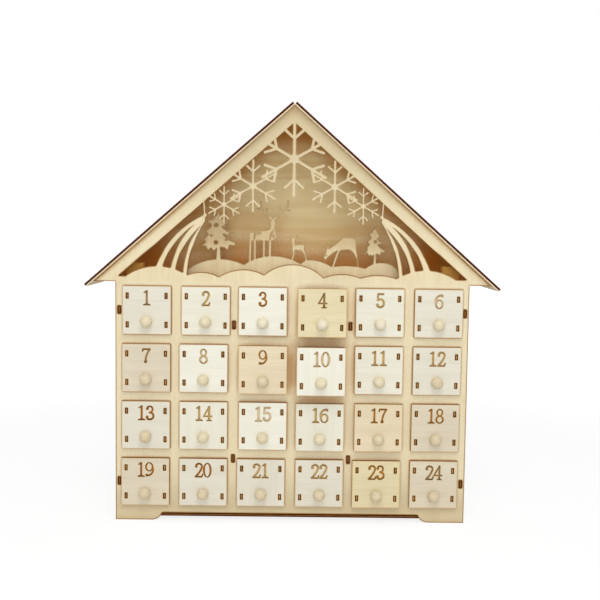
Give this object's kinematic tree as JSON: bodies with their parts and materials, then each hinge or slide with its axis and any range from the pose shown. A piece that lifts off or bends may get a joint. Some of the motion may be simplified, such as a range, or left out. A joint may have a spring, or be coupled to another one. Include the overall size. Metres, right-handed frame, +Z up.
{
  "type": "wooden advent calendar",
  "caption": "Plywood house advent calendar: a grid of numbered drawers with ball knobs under a gable of snowflake and shooting star fretwork with a deer scene inside.",
  "frame": {"origin": "centre of the bounding box on the ground under the feet", "axes": "+X to the right seen from the front, -Y the way that the drawers pull out, +Z up"},
  "size_m": [0.4, 0.0952, 0.4076],
  "materials": {
    "house_ply": "raw laser-cut plywood, charred edges",
    "front_white": "raw pale plywood, engraved number",
    "front_cream": "raw plywood, engraved number",
    "front_straw": "raw straw-coloured plywood, engraved number",
    "tray_ply": "raw thin plywood, charred edges"
  },
  "bodies": {
    "house": {"front_panel": "house_ply", "back_panel": "house_ply", "left_side": "house_ply", "right_side": "house_ply", "base_board": "house_ply", "shelves": "house_ply", "dividers": "house_ply", "attic_floor": "house_ply", "scene_panel": "house_ply", "corner_blocks": "house_ply", "roof_left": "house_ply", "roof_right": "house_ply"},
    "drawer_01": {"drawer_01_front": "front_cream", "drawer_01_tray": "tray_ply"},
    "drawer_02": {"drawer_02_front": "front_white", "drawer_02_tray": "tray_ply"},
    "drawer_03": {"drawer_03_front": "front_white", "drawer_03_tray": "tray_ply"},
    "drawer_04": {"drawer_04_front": "front_straw", "drawer_04_tray": "tray_ply"},
    "drawer_05": {"drawer_05_front": "front_white", "drawer_05_tray": "tray_ply"},
    "drawer_06": {"drawer_06_front": "front_cream", "drawer_06_tray": "tray_ply"},
    "drawer_07": {"drawer_07_front": "front_cream", "drawer_07_tray": "tray_ply"},
    "drawer_08": {"drawer_08_front": "front_white", "drawer_08_tray": "tray_ply"},
    "drawer_09": {"drawer_09_front": "front_straw", "drawer_09_tray": "tray_ply"},
    "drawer_10": {"drawer_10_front": "front_white", "drawer_10_tray": "tray_ply"},
    "drawer_11": {"drawer_11_front": "front_white", "drawer_11_tray": "tray_ply"},
    "drawer_12": {"drawer_12_front": "front_cream", "drawer_12_tray": "tray_ply"},
    "drawer_13": {"drawer_13_front": "front_cream", "drawer_13_tray": "tray_ply"},
    "drawer_14": {"drawer_14_front": "front_white", "drawer_14_tray": "tray_ply"},
    "drawer_15": {"drawer_15_front": "front_white", "drawer_15_tray": "tray_ply"},
    "drawer_16": {"drawer_16_front": "front_white", "drawer_16_tray": "tray_ply"},
    "drawer_17": {"drawer_17_front": "front_straw", "drawer_17_tray": "tray_ply"},
    "drawer_18": {"drawer_18_front": "front_straw", "drawer_18_tray": "tray_ply"},
    "drawer_19": {"drawer_19_front": "front_cream", "drawer_19_tray": "tray_ply"},
    "drawer_20": {"drawer_20_front": "front_cream", "drawer_20_tray": "tray_ply"},
    "drawer_21": {"drawer_21_front": "front_cream", "drawer_21_tray": "tray_ply"},
    "drawer_22": {"drawer_22_front": "front_cream", "drawer_22_tray": "tray_ply"},
    "drawer_23": {"drawer_23_front": "front_straw", "drawer_23_tray": "tray_ply"},
    "drawer_24": {"drawer_24_front": "front_straw", "drawer_24_tray": "tray_ply"}
  },
  "joints": [
    {"name": "drawer_01_slide", "type": "slide", "parent": "house", "child": "drawer_01", "axis": [0, -1, 0], "range_m": [0, 0.048]},
    {"name": "drawer_02_slide", "type": "slide", "parent": "house", "child": "drawer_02", "axis": [0, -1, 0], "range_m": [0, 0.048]},
    {"name": "drawer_03_slide", "type": "slide", "parent": "house", "child": "drawer_03", "axis": [0, -1, 0], "range_m": [0, 0.048]},
    {"name": "drawer_04_slide", "type": "slide", "parent": "house", "child": "drawer_04", "axis": [0, -1, 0], "range_m": [-0.008, 0.04]},
    {"name": "drawer_05_slide", "type": "slide", "parent": "house", "child": "drawer_05", "axis": [0, -1, 0], "range_m": [0, 0.048]},
    {"name": "drawer_06_slide", "type": "slide", "parent": "house", "child": "drawer_06", "axis": [0, -1, 0], "range_m": [0, 0.048]},
    {"name": "drawer_07_slide", "type": "slide", "parent": "house", "child": "drawer_07", "axis": [0, -1, 0], "range_m": [0, 0.048]},
    {"name": "drawer_08_slide", "type": "slide", "parent": "house", "child": "drawer_08", "axis": [0, -1, 0], "range_m": [0, 0.048]},
    {"name": "drawer_09_slide", "type": "slide", "parent": "house", "child": "drawer_09", "axis": [0, -1, 0], "range_m": [-0.005, 0.043]},
    {"name": "drawer_10_slide", "type": "slide", "parent": "house", "child": "drawer_10", "axis": [0, -1, 0], "range_m": [-0.012, 0.036]},
    {"name": "drawer_11_slide", "type": "slide", "parent": "house", "child": "drawer_11", "axis": [0, -1, 0], "range_m": [0, 0.048]},
    {"name": "drawer_12_slide", "type": "slide", "parent": "house", "child": "drawer_12", "axis": [0, -1, 0], "range_m": [0, 0.048]},
    {"name": "drawer_13_slide", "type": "slide", "parent": "house", "child": "drawer_13", "axis": [0, -1, 0], "range_m": [0, 0.048]},
    {"name": "drawer_14_slide", "type": "slide", "parent": "house", "child": "drawer_14", "axis": [0, -1, 0], "range_m": [0, 0.048]},
    {"name": "drawer_15_slide", "type": "slide", "parent": "house", "child": "drawer_15", "axis": [0, -1, 0], "range_m": [0, 0.048]},
    {"name": "drawer_16_slide", "type": "slide", "parent": "house", "child": "drawer_16", "axis": [0, -1, 0], "range_m": [-0.003, 0.045]},
    {"name": "drawer_17_slide", "type": "slide", "parent": "house", "child": "drawer_17", "axis": [0, -1, 0], "range_m": [-0.0015, 0.0465]},
    {"name": "drawer_18_slide", "type": "slide", "parent": "house", "child": "drawer_18", "axis": [0, -1, 0], "range_m": [0, 0.048]},
    {"name": "drawer_19_slide", "type": "slide", "parent": "house", "child": "drawer_19", "axis": [0, -1, 0], "range_m": [0, 0.048]},
    {"name": "drawer_20_slide", "type": "slide", "parent": "house", "child": "drawer_20", "axis": [0, -1, 0], "range_m": [0, 0.048]},
    {"name": "drawer_21_slide", "type": "slide", "parent": "house", "child": "drawer_21", "axis": [0, -1, 0], "range_m": [0, 0.048]},
    {"name": "drawer_22_slide", "type": "slide", "parent": "house", "child": "drawer_22", "axis": [0, -1, 0], "range_m": [0, 0.048]},
    {"name": "drawer_23_slide", "type": "slide", "parent": "house", "child": "drawer_23", "axis": [0, -1, 0], "range_m": [-0.0015, 0.0465]},
    {"name": "drawer_24_slide", "type": "slide", "parent": "house", "child": "drawer_24", "axis": [0, -1, 0], "range_m": [0, 0.048]}
  ]
}
